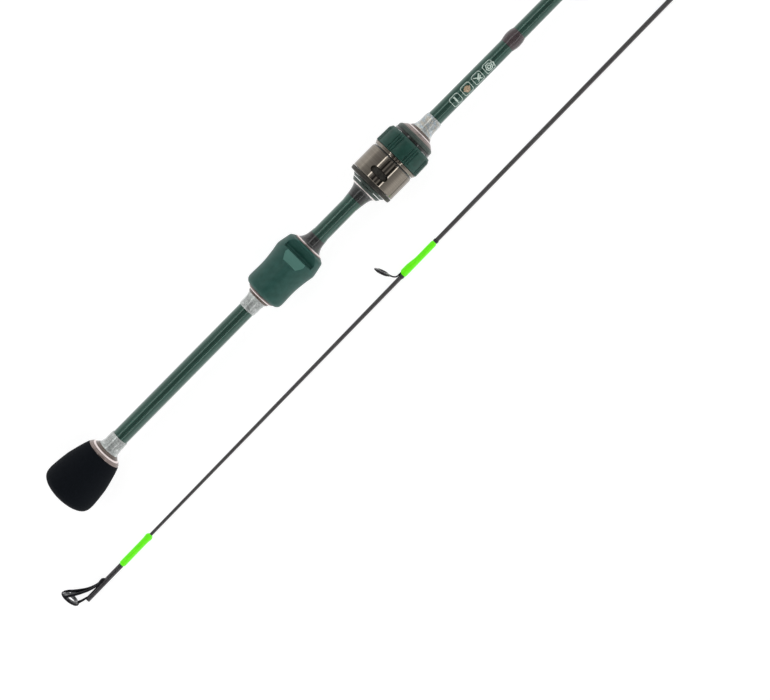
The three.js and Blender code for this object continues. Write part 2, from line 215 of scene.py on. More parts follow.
def strap(path, half_widths, thickness):
    """A flat band along a path in X-Z. half_widths are spread evenly along it."""
    pts = [Vector(p) for p in path]
    verts, faces = [], []
    for i, p in enumerate(pts):
        ahead = (pts[min(i + 1, len(pts) - 1)] - pts[max(i - 1, 0)]).normalized()
        up = Vector((-ahead.z, 0, ahead.x)) * thickness / 2
        at = i / (len(pts) - 1) * (len(half_widths) - 1)
        low = min(int(at), len(half_widths) - 2)
        half = half_widths[low] + (half_widths[low + 1] - half_widths[low]) * (at - low)
        side = Vector((0, half, 0))
        verts += [tuple(p + side + up), tuple(p - side + up), tuple(p - side - up), tuple(p + side - up)]
    for i in range(len(pts) - 1):
        for j in range(4):
            k = (j + 1) % 4
            faces.append([i * 4 + j, i * 4 + k, (i + 1) * 4 + k, (i + 1) * 4 + j])
    last = 4 * (len(pts) - 1)
    faces += [[0, 1, 2, 3], [last, last + 1, last + 2, last + 3]]
    return mesh_from(verts, faces)


def extruded(outline, low, high, axis="Y"):
    """A prism: an outline in X-Z pushed along Y, or in X-Y pushed along Z."""
    count = len(outline)
    verts = [(x, d, z) if axis == "Y" else (x, z, d) for d in (low, high) for x, z in outline]
    faces = [list(range(count)), list(range(count, 2 * count))]
    faces += [[i, (i + 1) % count, count + (i + 1) % count, count + i] for i in range(count)]
    return mesh_from(verts, faces)


def box_mesh(low, high):
    return extruded(
        [(low[0], low[2]), (high[0], low[2]), (high[0], high[2]), (low[0], high[2])], low[1], high[1]
    )


def worked(mesh, modify):
    """The mesh after the modifiers that modify(object) adds to it."""
    work = bpy.data.objects.new("work", mesh)
    bpy.context.scene.collection.objects.link(work)
    modify(work)
    bpy.context.view_layer.update()
    result = bpy.data.meshes.new_from_object(work.evaluated_get(bpy.context.evaluated_depsgraph_get()))
    bpy.data.objects.remove(work)
    return result


def combined(mesh, other, operation="DIFFERENCE"):
    tool = bpy.data.objects.new("tool", other)
    bpy.context.scene.collection.objects.link(tool)

    def modify(work):
        boolean = work.modifiers.new("boolean", "BOOLEAN")
        boolean.operation = operation
        boolean.solver = "EXACT"
        boolean.object = tool

    result = worked(mesh, modify)
    bpy.data.objects.remove(tool)
    return result


def moulded(mesh, voxel, smooth=6):
    """The mesh as one skin with soft edges, as a moulding or a plated casting has."""

    def modify(work):
        remesh = work.modifiers.new("remesh", "REMESH")
        remesh.mode = "VOXEL"
        remesh.voxel_size = voxel
        remesh.use_smooth_shade = True
        soften = work.modifiers.new("smooth", "SMOOTH")
        soften.factor = 0.5
        soften.iterations = smooth

    return worked(mesh, modify)


def merged(meshes):
    bm = bmesh.new()
    for mesh in meshes:
        bm.from_mesh(mesh)
    result = bpy.data.meshes.new("mesh")
    bm.to_mesh(result)
    bm.free()
    return result


def piece(name, mesh, place, body, paint, replaces=()):
    """Puts a mesh in millimetres in its place as a named piece that rides on a body."""
    mesh.transform(place)
    mesh.name = name
    mesh.materials.clear()
    mesh.materials.append(paint)
    made = bpy.data.objects.new(name, mesh)
    bpy.context.scene.collection.objects.link(made)
    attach(made, body)
    if replaces:
        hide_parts(*replaces)
    return made


# ---------------------------------------------------------------- materials


def srgb(red, green, blue):
    def linear(c):
        c /= 255
        return c / 12.92 if c <= 0.04045 else ((c + 0.055) / 1.055) ** 2.4

    return (linear(red), linear(green), linear(blue), 1)


class Paint:
    """A Principled material and the few nodes that vary it."""

    def __init__(self, name, **constants):
        self.material = bpy.data.materials.new(name)
        self.material.use_nodes = True
        self.tree = self.material.node_tree
        self.shader = self.tree.nodes["Principled BSDF"]
        for key, value in constants.items():
            self.shader.inputs[key.replace("_", " ")].default_value = value

    def node(self, kind, inputs=None, **settings):
        made = self.tree.nodes.new("ShaderNode" + kind)
        for key, value in settings.items():
            setattr(made, key, value)
        for key, value in (inputs or {}).items():
            if isinstance(value, bpy.types.NodeSocket):
                self.tree.links.new(value, made.inputs[key])
            else:
                made.inputs[key].default_value = value
        return made

    def to(self, key, socket):
        self.tree.links.new(socket, self.shader.inputs[key])

    def skin(self, around, along=1.0):
        """The skin map scaled to even steps: turns times around, millimetres times along."""
        uv = self.node("UVMap", uv_map="skin").outputs["UV"]
        return self.node("Mapping", {"Vector": uv, "Scale": (around, along, 1)}).outputs["Vector"]

    def space(self, scale=(1000, 1000, 1000)):
        """The object's own coordinates, in millimetres."""
        place = self.node("TexCoord").outputs["Object"]
        return self.node("Mapping", {"Vector": place, "Scale": scale}).outputs["Vector"]

    def noise(self, vector, scale, detail=3.0, roughness=0.5, distortion=0.0):
        values = {"Vector": vector, "Scale": scale, "Detail": detail}
        values.update({"Roughness": roughness, "Distortion": distortion})
        return self.node("TexNoise", values).outputs["Fac"]

    def ramp(self, factor, stops):
        made = self.node("ValToRGB", {"Fac": factor})
        elements = made.color_ramp.elements
        while len(elements) < len(stops):
            elements.new(0.5)
        for element, (position, color) in zip(elements, stops):
            element.position = position
            element.color = color
        return made.outputs["Color"]

    def mix(self, factor, a, b, blend="MIX"):
        made = self.node("Mix", data_type="RGBA", blend_type=blend)
        for index, value in ((0, factor), (6, a), (7, b)):
            if isinstance(value, bpy.types.NodeSocket):
                self.tree.links.new(value, made.inputs[index])
            else:
                made.inputs[index].default_value = value
        return made.outputs[2]

    def math(self, operation, a, b=0.0):
        made = self.node("Math", operation=operation)
        for index, value in enumerate((a, b)):
            if isinstance(value, bpy.types.NodeSocket):
                self.tree.links.new(value, made.inputs[index])
            else:
                made.inputs[index].default_value = value
        return made.outputs[0]

    def span(self, factor, low, high):
        """The factor from 0 to 1 spread over low to high."""
        return self.node("MapRange", {"Value": factor, "To Min": low, "To Max": high}).outputs["Result"]

    def bump(self, height, strength, distance=0.0001):
        values = {"Height": height, "Strength": strength, "Distance": distance}
        self.to("Normal", self.node("Bump", values).outputs["Normal"])


def grey(value):
    return (value, value, value, 1)


def gloss_green():
    """Deep green metallic lacquer under a clear coat, with a fine fleck and the blank's faint spiral."""
    paint = Paint("gloss_green", Metallic=0.75, Roughness=0.36, Coat_Weight=1.0, Coat_Roughness=0.03)
    fleck = paint.noise(paint.space(), 7.0, detail=2.0)
    cloud = paint.noise(paint.space((40, 900, 900)), 1.0, detail=3.0)
    colour = paint.ramp(cloud, [(0.3, srgb(36, 74, 63)), (0.7, srgb(50, 90, 78))])
    flecks = paint.ramp(fleck, [(0.6, grey(0)), (0.74, grey(0.6))])
    paint.to("Base Color", paint.mix(flecks, colour, srgb(74, 118, 104)))
    spiral = paint.node("SeparateXYZ", {"Vector": paint.skin(1.0, 0.45)})
    phase = paint.math("ADD", spiral.outputs["X"], spiral.outputs["Y"])
    paint.bump(paint.math("SINE", paint.math("MULTIPLY", phase, 2 * math.pi)), 0.04)
    return paint.material


def moulded_green(name, dark, light, rough, facet=None):
    """Soft-touch moulded green, with a fine grain and slightly lighter, worn patches.
    facet, if given, is a painted highlight: a lighter colour on high flat faces that lean forwards, where
    light falls more brightly."""
    paint = Paint(name, Specular_IOR_Level=0.35)
    cloud = paint.noise(paint.space(), 0.35, detail=4.0)
    colour = paint.ramp(cloud, [(0.35, dark), (0.7, light)])
    if facet:
        # Painted highlight: high faces that lean forwards and face up get the lighter facet colour in place
        # of light.
        normal = paint.node("SeparateXYZ", {"Vector": paint.node("NewGeometry").outputs["Normal"]})
        highlight_lean_stops = [(0.05, grey(0)), (0.08, grey(1)), (0.16, grey(1)), (0.2, grey(0))]
        highlight_forward_lean = paint.ramp(normal.outputs["X"], highlight_lean_stops)
        highlight_facing_up = paint.ramp(normal.outputs["Z"], [(0.97, grey(0)), (0.985, grey(1))])
        place = paint.node("SeparateXYZ", {"Vector": paint.space()})
        height = paint.math("MULTIPLY", place.outputs["Z"], 0.04)
        highlight_height_mask = paint.ramp(height, [(0.975, grey(0)), (0.985, grey(1))])
        mask = paint.math("MULTIPLY", paint.math("MULTIPLY", highlight_forward_lean, highlight_facing_up), highlight_height_mask)
        colour = paint.mix(mask, colour, facet)
    paint.to("Base Color", colour)
    paint.to("Roughness", paint.span(cloud, rough, rough + 0.12))
    paint.bump(paint.noise(paint.space(), 9.0, detail=2.0), 0.1)
    return paint.material


def foam():
    """Closed-cell foam: near black, with fine open pores and a fine grain on the skin."""
    paint = Paint("foam", Specular_IOR_Level=0.12)
    pores = paint.node("TexVoronoi", {"Vector": paint.space(), "Scale": 3.2}).outputs["Distance"]
    grain = paint.noise(paint.space(), 5.0, detail=5.0, roughness=0.7)
    colour = paint.ramp(grain, [(0.3, srgb(7, 10, 15)), (0.75, srgb(21, 26, 33))])
    paint.to("Base Color", colour)
    paint.to("Roughness", paint.span(grain, 0.82, 0.98))
    height = paint.math("ADD", paint.math("MULTIPLY", pores, 0.6), grain)
    paint.bump(height, 0.35, 0.00025)
    return paint.material


def lathe_turned(name, low, high, roughness, lines=7.0, strength=0.12):
    """Metal turned on a lathe: fine rings round it, and a slow change of tone."""
    paint = Paint(name, Metallic=1.0)
    rings = paint.noise(paint.skin(0.4, lines), 1.0, detail=3.0)
    paint.to("Base Color", paint.ramp(rings, [(0.3, low), (0.7, high)]))
    paint.to("Roughness", paint.span(rings, roughness * 0.75, roughness * 1.4))
    paint.bump(rings, strength, 0.00005)
    return paint.material


def thread(name, dark, light, pitch=0.22, coat=1.0, painted_glow=None):
    """Thread laid side by side round the rod under clear epoxy. glow, if given, is painted light: the thread
    gives off that light of its own, so that it looks brighter than the lamps make it.
    """
    paint = Paint(name, Roughness=0.4, Specular_IOR_Level=0.25, Coat_Weight=coat, Coat_Roughness=0.06)
    if painted_glow:
        paint.shader.inputs["Emission Color"].default_value = painted_glow
        paint.shader.inputs["Emission Strength"].default_value = 1.0
    along = paint.node("SeparateXYZ", {"Vector": paint.skin(0.35, 1.0)})
    phase = paint.math("ADD", paint.math("MULTIPLY", along.outputs["Y"], 1 / pitch), along.outputs["X"])
    turns = paint.math("SINE", paint.math("MULTIPLY", phase, 2 * math.pi))
    strands = paint.math("ADD", paint.math("MULTIPLY", turns, 0.5), 0.5)
    cloud = paint.noise(paint.skin(1.2, 0.9), 1.0, detail=4.0)
    shade = paint.math("MULTIPLY", paint.math("ADD", strands, cloud), 0.5)
    paint.to("Base Color", paint.ramp(shade, [(0.15, dark), (0.7, light)]))
    paint.bump(strands, 0.25, 0.00006)
    return paint.material


def silver_cloth(name, tints):
    """Silver cloth under epoxy: a crossed weave, streaks along the rod and a few faint tints."""
    paint = Paint(name, Metallic=0.35, Coat_Weight=1.0, Coat_Roughness=0.04)
    cloud = paint.noise(paint.skin(9.0, 0.22), 1.0, detail=5.0, roughness=0.62, distortion=0.5)
    stops = [(0.3, srgb(150, 153, 152)), (0.5, srgb(194, 198, 196)), (0.66, srgb(236, 240, 238))]
    colour = paint.ramp(cloud, stops)
    for tint, scale in zip(tints, (1.3, 1.9)):
        patch = paint.noise(paint.skin(7.0, 0.4), scale, detail=2.0)
        mask = paint.ramp(patch, [(0.44, grey(0)), (0.62, grey(1))])
        colour = paint.mix(mask, colour, tint, "MULTIPLY")
    paint.to("Base Color", colour)
    cells = paint.skin(64.0, 2.1)
    weave = paint.node("TexChecker", {"Vector": cells, "Scale": 1.0}).outputs["Fac"]
    paint.to("Roughness", paint.span(weave, 0.26, 0.44))
    paint.bump(weave, 0.15, 0.00004)
    return paint.material


def marbled_carbon():
    """Forged carbon: flakes of different blacks and greys under a clear coat."""
    paint = Paint(
        "marbled_carbon", Roughness=0.4, Specular_IOR_Level=0.3, Coat_Weight=1.0, Coat_Roughness=0.04,
    )
    cells = paint.node("TexVoronoi", {"Vector": paint.space(), "Scale": 0.75, "Randomness": 1.0})
    cloud = paint.noise(paint.space(), 1.1, detail=5.0, distortion=0.6)
    flakes = paint.mix(0.5, cells.outputs["Color"], cloud)
    values = paint.node("RGBToBW", {"Color": flakes}).outputs["Val"]
    stops = [(0.36, srgb(6, 7, 7)), (0.52, srgb(21, 23, 23)), (0.66, srgb(50, 52, 51))]
    paint.to("Base Color", paint.ramp(values, stops))
    return paint.material


def black_steel(name, low, high):
    paint = Paint(name, Metallic=0.85)
    wear = paint.noise(paint.space(), 1.5, detail=4.0)
    paint.to("Base Color", paint.ramp(wear, [(0.35, low), (0.75, high)]))
    paint.to("Roughness", paint.span(wear, 0.14, 0.26))
    paint.bump(paint.noise(paint.space(), 8.0), 0.05)
    return paint.material


def ceramic():
    paint = Paint("ceramic", Coat_Weight=0.6, Coat_Roughness=0.03, Specular_IOR_Level=0.7)
    cloud = paint.noise(paint.space(), 2.0, detail=3.0)
    paint.to("Base Color", paint.ramp(cloud, [(0.35, srgb(48, 48, 52)), (0.7, srgb(78, 78, 82))]))
    paint.to("Roughness", paint.span(cloud, 0.1, 0.2))
    return paint.material


def charcoal():
    """Unsanded charcoal blank: a tight spiral left by the wrapping tape, under a thin semi-gloss coat."""
    paint = Paint("charcoal", Coat_Weight=0.5, Coat_Roughness=0.18)
    along = paint.node("SeparateXYZ", {"Vector": paint.skin(1.0, 1.1)})
    phase = paint.math("ADD", along.outputs["X"], along.outputs["Y"])
    sine = paint.math("SINE", paint.math("MULTIPLY", phase, 2 * math.pi))
    wave = paint.math("ADD", paint.math("MULTIPLY", sine, 0.5), 0.5)
    cloud = paint.noise(paint.space((60, 900, 900)), 1.0, detail=4.0)
    shade = paint.math("ADD", paint.math("MULTIPLY", wave, 0.35), paint.math("MULTIPLY", cloud, 0.65))
    paint.to("Base Color", paint.ramp(shade, [(0.25, srgb(48, 45, 46)), (0.75, srgb(74, 71, 72))]))
    paint.to("Roughness", paint.span(cloud, 0.3, 0.45))
    paint.bump(wave, 0.12, 0.00005)
    return paint.material


def printed(name, low, high):
    paint = Paint(name, Coat_Weight=0.8, Coat_Roughness=0.08)
    cloud = paint.noise(paint.space(), 2.5, detail=3.0)
    paint.to("Base Color", paint.ramp(cloud, [(0.3, low), (0.7, high)]))
    paint.to("Roughness", paint.span(cloud, 0.35, 0.5))
    return paint.material


GREEN = gloss_green()
# The hood's facet colour is a painted highlight on its high, forward-leaning flat faces.
MATTE = moulded_green("hood_green", srgb(35, 81, 73), srgb(44, 91, 83), 0.42, facet=srgb(88, 136, 126))
SATIN = moulded_green("nut_green", srgb(24, 68, 58), srgb(34, 79, 69), 0.34)
DARK = moulded_green("grey_green", srgb(62, 76, 70), srgb(80, 92, 86), 0.36)
SHADOW = moulded_green("brown_black", srgb(40, 38, 34), srgb(62, 60, 52), 0.4)
FOAM = foam()
CHECK = lathe_turned("rose_gunmetal", srgb(112, 100, 97), srgb(160, 147, 142), 0.26)
# Painted highlights: near-white metal rings on the checks' chamfered edges, standing in for the light those
# edges catch.
PAINTED_HIGHLIGHT = lathe_turned("painted_highlight_line", srgb(226, 210, 208), srgb(250, 240, 238), 0.3)
SHROUD = lathe_turned(
    "warm_gunmetal", srgb(118, 111, 102), srgb(142, 135, 125), 0.05, lines=3.0, strength=0.03,
)
BROWN = thread("brown_thread", srgb(48, 36, 32), srgb(104, 86, 74), pitch=0.3)
BEAD = thread("bead_thread", srgb(38, 34, 35), srgb(84, 68, 72), pitch=0.35)
# The neon thread's emission is painted light: it glows green though it is no lamp.
NEON = thread("neon_thread", srgb(62, 192, 0), srgb(104, 228, 2), coat=0.35, painted_glow=(0.06, 0.42, 0.0, 1))
# Black thread for the guides' trims, and also painted shade in the gaps and the groove between rings on the
# seat.
BLACK_THREAD_AND_GAP_SHADE = thread("black_thread_and_gap_shade", srgb(10, 12, 10), srgb(30, 34, 30))
SILVER = silver_cloth("silver_cloth", [srgb(236, 240, 238), srgb(222, 222, 222)])
RAINBOW = silver_cloth("rainbow_cloth", [srgb(255, 244, 230), srgb(224, 238, 252)])
CARBON = marbled_carbon()
STEEL = black_steel("black_steel", srgb(22, 22, 24), srgb(48, 48, 52))
TUBE = black_steel("tube_steel", srgb(70, 68, 70), srgb(96, 94, 96))
CERAMIC = ceramic()
CHARCOAL = charcoal()
WHITE = printed("white_print", srgb(196, 222, 208), srgb(236, 250, 240))
TAN = printed("tan_print", srgb(126, 92, 60), srgb(230, 206, 172))


# ---------------------------------------------------------------- the handle section

ON_BLANK = 4.55
SLEEVE_BORE = 4.42
PLATFORM = 8.4
HANDLE_BODY = "handle_section"


def handle_ring(name, outline, paint, replaces=(), steps=96, bore=ON_BLANK, soft=0.15):
    """A turned ring on the handle section, with its corners rounded."""
    mesh = turned(rounded(bored(outline, bore), soft), steps)
    return piece(name, mesh, HANDLE, HANDLE_BODY, paint, replaces)


def grip():
    dome = flowing([
        (KNOB_START, 0), (1.45, 2.5), (1.62, 5), (2.2, 8.3), (3.2, 11.1), (4.6, 13.1), (6.4, 14.1),
        (9, 14.38), (12, 14.2), (16, 13.8), (20, 13.2), (24, 12.2), (28, 11.1), (30.8, 10.15),
    ])
    rim = [(31.35, 9.9), (31.5, 9.6), (31.5, 4.7), (9, 4.7), (9, 0)]
    piece("knob_foam", turned(dome + rim, 128), HANDLE, HANDLE_BODY, FOAM, ["grip_knob"])
    check = [(31.75, 9.65), (32.2, 9.45), (32.4, 9.1), (32.6, 9.1), (33.1, 8.6), (33.2, 8.3)]
    handle_ring("knob_check", check, CHECK, ["grip_check"], soft=0.1)
    handle_ring("knob_check_line", [(33.25, 8.25), (33.8, 7.6)], PAINTED_HIGHLIGHT)
    wind = flowing([(33.85, 7.3), (34.2, 6.95), (34.7, 6.4), (35.2, 5.95)], 4)
    handle_ring("knob_wind", wind, BROWN, ["grip_wind"])
    cloth = flowing([(35.25, 5.85), (36, 5.4), (38, 5.02), (40, 4.94), (42.8, 4.9), (43.5, 4.66)], 5)
    handle_ring("knob_sleeve", cloth, SILVER, ["grip_sleeve"], bore=SLEEVE_BORE)


def handle_blank():
    bore = [(724.8, 2.3), (346, 3), (262, 3.5), (12, 3.5), (12, 0)]
    blank = turned([(9.5, 0), *BLANK, *bore], 64)
    piece("blank_lower", blank, HANDLE, HANDLE_BODY, GREEN, ["handle_blank"])
    socket = turned(rounded(bored([(724.8, 3.15), (SECTION_LENGTH, 3.0)], 2.3), 0.12), 64)
    piece("blank_socket", socket, HANDLE, HANDLE_BODY, GREEN, ["ferrule_socket"])
    band = flowing([
        (318.4, 4.06), (319.2, 4.2), (320.4, 4.48), (321.6, 4.68), (323.2, 4.75), (325, 4.62),
        (326.4, 4.3), (327.2, 4.04),
    ], 5)
    handle_ring("blank_bead", band, BEAD, ["blank_band"], bore=3.98)
    wrap = flowing([
        (746.9, 3.4), (747.8, 3.66), (749.5, 3.75), (768, 3.74), (771.5, 3.74), (773.3, 3.62), (774.2, 3.35),
    ], 5)
    handle_ring("mouth_wrap", wrap, NEON, ["ferrule_wrap"], bore=3.1)
    handle_ring("mouth_trim", [(743, 3.5), (746.7, 3.55)], CHECK, ["ferrule_end_trim"], bore=3.2)


def hood_body():
    """The fixed hood: a moulding with a facet, a lip, a pocket for the reel foot and a scoop in front."""
    floor, lip = 7.4, 170.1
    waist = flowing([
        (144.7, 10.1), (145.4, 10.65), (146.8, 11.0), (149, 11.02), (152, 10.9), (156, 10.88), (160, 11.18),
        (164, 11.7), (166.5, 12.15), (168, 12.36), (169.4, 12.2), (172, 11.7), (175.4, 10.95),
    ], 4)
    outside = [(143.9, 8.6), (144.15, 9.5), *waist, (176.0, 10.5), (176.9, 9.1)]
    hood = turned(bored(outside, ON_BLANK), 160)
    facet = [(164.4, 11.0), (lip + 0.05, 10.5), (lip + 0.05, 16), (164.4, 16)]
    hood = combined(hood, extruded(facet, -14, 14))
    round_pocket = turned([(162.1, 0), (162.1, 10.5), (170.2, 10.5), (170.2, 0)], 96)
    block = box_mesh((160, -12, floor), (172, 12, 10))
    hood = combined(hood, combined(round_pocket, block, "INTERSECT"))
    scoop = [
        (lip, 6.6), (171.7, 6.6), (172.3, 7.0), (173.6, 7.5), (175.2, 8.1), (175.5, PLATFORM),
        (180, PLATFORM), (180, 16), (lip, 16),
    ]
    hood = combined(hood, extruded(scoop, -9.1, 8.7))
    return moulded(hood, 0.14, 2)


def rear_seat():
    cloth = flowing([
        (133.3, 4.66), (133.9, 4.88), (136, 4.92), (138.6, 5.02), (140.3, 5.4), (141.15, 5.85),
    ], 5)
    handle_ring("rear_cloth", cloth, SILVER, ["rear_sleeve"], bore=SLEEVE_BORE)
    wind = flowing([(141.2, 6.0), (141.7, 6.3), (142.35, 6.5)], 4)
    handle_ring("rear_brown", wind, BROWN, ["rear_wind"])
    handle_ring("rear_check_line", [(142.45, 6.8), (142.95, 7.35)], PAINTED_HIGHLIGHT, soft=0.08)
    check = [(143.0, 7.45), (143.35, 7.9), (143.6, 8.1)]
    handle_ring("rear_check_ring", check, CHECK, ["rear_check"])
    # A thin black ring of painted shade in the gap between the check ring and the hood.
    handle_ring("rear_gap", [(143.65, 8.1), (143.9, 8.2)], BLACK_THREAD_AND_GAP_SHADE)
    piece("rear_hood_body", hood_body(), HANDLE, HANDLE_BODY, MATTE, ["rear_hood"])
    trim = turned(rounded(bored([(177.1, 8.75), (177.5, 8.3)], 4.6), 0.08), 128)
    trim = combined(trim, box_mesh((176, -11, PLATFORM), (179, 11, 14)))
    piece("rear_hood_ring", trim, HANDLE, HANDLE_BODY, CHECK, ["rear_hood_trim"])
    handle_ring("rear_hood_line", [(177.55, 8.2), (178.0, 7.4)], PAINTED_HIGHLIGHT, soft=0.08)
    cone = flowing([
        (178.1, 7.05), (178.7, 6.45), (179.5, 5.95), (180.5, 5.45), (182, 5.0), (184, 4.75),
    ], 6)
    handle_ring("rear_marbled_cone", cone, CARBON, ["rear_cone"], bore=SLEEVE_BORE)
    fade = flowing([(184.05, 4.74), (185, 4.64), (186.1, 4.5)], 4)
    handle_ring("rear_green_fade", fade, GREEN, bore=SLEEVE_BORE)


def front_seat():
    cone = flowing([
        (210.3, 4.88), (212, 5.15), (214, 5.58), (215.4, 6.1), (216.4, 6.8),
    ], 6)
    fade = flowing([(206.9, 4.5), (208, 4.62), (210.25, 4.86)], 4)
    handle_ring("front_green_fade", fade, GREEN, bore=SLEEVE_BORE)
    handle_ring("front_marbled_cone", cone, CARBON, ["front_cone"], bore=SLEEVE_BORE)
    handle_ring("front_check_line", [(216.5, 6.95), (217.0, 7.6)], PAINTED_HIGHLIGHT, soft=0.08)
    notch = box_mesh((216, -11, PLATFORM), (220.25, 11, 14))
    check = [(217.05, 7.7), (217.3, 8.1), (218.0, 8.6), (218.6, 9.0), (218.7, 8.8)]
    check = combined(turned(rounded(bored(check, 4.6), 0.08), 128), notch)
    piece("front_check_ring", check, HANDLE, HANDLE_BODY, DARK, ["front_check"])
    collar = [(219.0, 9.0), (219.35, 9.2), (219.45, 9.55), (220.15, 10.15), (220.25, 10.1)]
    collar = combined(turned(rounded(bored(collar, 7.1), 0.08), 128), notch)
    piece("front_collar", collar, HANDLE, HANDLE_BODY, DARK, ["seat_collar"])
    outside = [(220.4, 10.4), (220.5, 12.3), (220.9, 12.8), (222.4, 13.0), (222.7, 12.8)]
    flange = turned(rounded(bored(outside, 7.1), 0.2), 160)
    flange = combined(flange, box_mesh((219, -5.8, PLATFORM), (224, 5.8, 10.9)))
    piece("front_flange", flange, HANDLE, HANDLE_BODY, SHADOW, ["seat_flange"])
    core = turned(rounded(bored([(219.6, 7.0), (254.3, 7.0)], 4.7), 0.2), 96)
    core = combined(core, box_mesh((223.2, -4, 5), (227.3, 4, PLATFORM)), "UNION")
    core = combined(core, box_mesh((228.5, -1, -7.9), (249.5, 1, -6)), "UNION")
    piece("front_core", core, HANDLE, HANDLE_BODY, CARBON, ["seat_core"])


def pill(length, width, grow=0.0, steps=10):
    """A slot outline across the rod: X is its width, Y its length."""
    r, half = width / 2 + grow, (length - width) / 2
    angles = [math.pi * i / steps for i in range(steps + 1)]
    ends = [(r * math.cos(a), half + r * math.sin(a)) for a in angles]
    return ends + [(-x, -y) for x, y in ends]


def shroud_body():
    """The polished shroud, with its oval window and the dished flare round the window."""
    outside = [(222.85, 12.75), (223.15, 13.0), (236.2, 13.0), (236.35, 12.85), (236.85, 12.85)]
    shroud = turned(rounded(bored(outside, 11.6), 0.12, 4), 192)
    shift = Matrix.Translation((227.9, 0, 0))
    window = extruded(pill(10.4, 3.2), 9, 15, "Z")
    window.transform(shift)
    shroud = combined(shroud, window)
    inner, outer = pill(10.4, 3.2, 0.03), pill(10.4, 3.2, 0.6)
    verts = [(x, y, 12.15) for x, y in inner] + [(x, y, 13.6) for x, y in outer]
    count = len(inner)
    faces = [list(range(count)), list(range(count, 2 * count))]
    faces += [[i, (i + 1) % count, count + (i + 1) % count, count + i] for i in range(count)]
    flare = mesh_from(verts, faces)
    flare.transform(shift)
    return combined(shroud, flare)


def shroud():
    mesh = shroud_body()
    mesh.set_sharp_from_angle(angle=math.radians(20))
    piece("shroud_metal", mesh, HANDLE, HANDLE_BODY, SHROUD, ["seat_shroud"])
    # A thin black ring of painted shade in the gap between the shroud and the nut's bezel.
    gap_shade = [(236.6, 12.55), (237.5, 12.55)]
    handle_ring("shroud_gap_shade", gap_shade, BLACK_THREAD_AND_GAP_SHADE, steps=128, bore=11.75)


def moving_hood():
    roof = turned(rounded(bored([(225.6, 11.3), (231.2, 11.3)], 10.4), 0.2), 128)
    roof = combined(roof, box_mesh((225, -8, 3), (232, 8, 12)), "INTERSECT")
    flange = turned(rounded(bored([(230.8, 11.3), (232.8, 11.3)], 7.3), 0.2), 128)
    tube = turned(rounded(bored([(232, 9.2), (244, 9.2)], 7.3), 0.2), 96)
    hood = combined(combined(roof, flange, "UNION"), tube, "UNION")
    hood = combined(hood, box_mesh((220, -1.35, -8.3), (250, 1.35, -6)))
    piece("hood_slider", hood, HANDLE, "moving_hood", SHADOW, ["moving_hood"])


def nut_grooves(x, angle):
    """Eight groups of three fine grooves along the nut, fading out at both ends."""
    if x > 249.2:
        return 0.0
    depth, half_width, pitch, group = 0.5, 0.042, 0.108, math.radians(45)
    offset = angle % group - group / 2
    near = min(abs(offset - k * pitch) for k in (-1, 0, 1))
    across = max(0.0, 1 - near / half_width)
    ends = max(0.0, min(1.0, (x - 239.75) / 0.35, (249.1 - x) / 0.5))
    return -depth * ends * across * across * (3 - 2 * across)


def nut():
    rows = [(239.6, 13.2), (239.7, 13.5)]
    rows += [(239.9 + 0.25 * i, 13.64 - 0.007 * i) for i in range(34)]
    rows += [(248.5, 13.36), (248.9, 13.16), (250.1, 12.5), (250.3, 12.3), (250.3, 11.6)]
    mesh = turned(bored(rows, 9.5), 1152, nut_grooves, sharp=60)
    piece("nut_body", mesh, HANDLE, "locking_nut", SATIN, ["locking_nut"])
    bezel = [(237.75, 12.7), (238.0, 12.85), (238.6, 12.95), (238.9, 13.35), (239.35, 13.4), (239.5, 13.1)]
    mesh = turned(rounded(bored(bezel, 11.7), 0.1), 160)
    piece("nut_bezel_metal", mesh, HANDLE, "locking_nut", SHROUD, ["nut_bezel"])


def seat_front():
    # A black ring of painted shade in the groove between the nut and the end ring.
    groove = turned(rounded(bored([(250.55, 11.2), (251.7, 11.2)], 7.3), 0.08), 128)
    piece("end_groove", groove, HANDLE, HANDLE_BODY, BLACK_THREAD_AND_GAP_SHADE)
    ring = [(251.75, 10.6), (251.95, 10.95), (253.5, 10.9), (254.35, 10.2)]
    mesh = turned(rounded(bored(ring, 7.3), 0.12), 128)
    piece("end_ring", mesh, HANDLE, HANDLE_BODY, DARK, ["seat_end_ring"])
    check = [(254.45, 9.9), (254.9, 9.5), (255.3, 9.0), (256.15, 7.95)]
    handle_ring("end_check", check, CHECK, ["seat_check"])
    handle_ring("end_check_line", [(256.2, 7.85), (256.65, 7.3)], PAINTED_HIGHLIGHT, soft=0.08)
    wind = flowing([(256.7, 7.0), (257.2, 6.6), (257.9, 6.15)], 4)
    handle_ring("end_brown", wind, BROWN, ["seat_wind"])
    cloth = flowing([
        (257.95, 6.05), (259, 5.5), (260.5, 5.05), (262.5, 4.85), (265.5, 4.78), (267.2, 4.5),
    ], 5)
    handle_ring("end_cloth", cloth, RAINBOW, ["seat_sleeve"], bore=4.32)


grip()
handle_blank()
rear_seat()
front_seat()
shroud()
moving_hood()
nut()
seat_front()


# ---------------------------------------------------------------- pictograms on the blank


def blank_at(x):
    for (x0, r0), (x1, r1) in zip(BLANK, BLANK[1:]):
        if x <= x1:
            return r0 + (r1 - r0) * (x - x0) / (x1 - x0)
    return BLANK[-1][1]


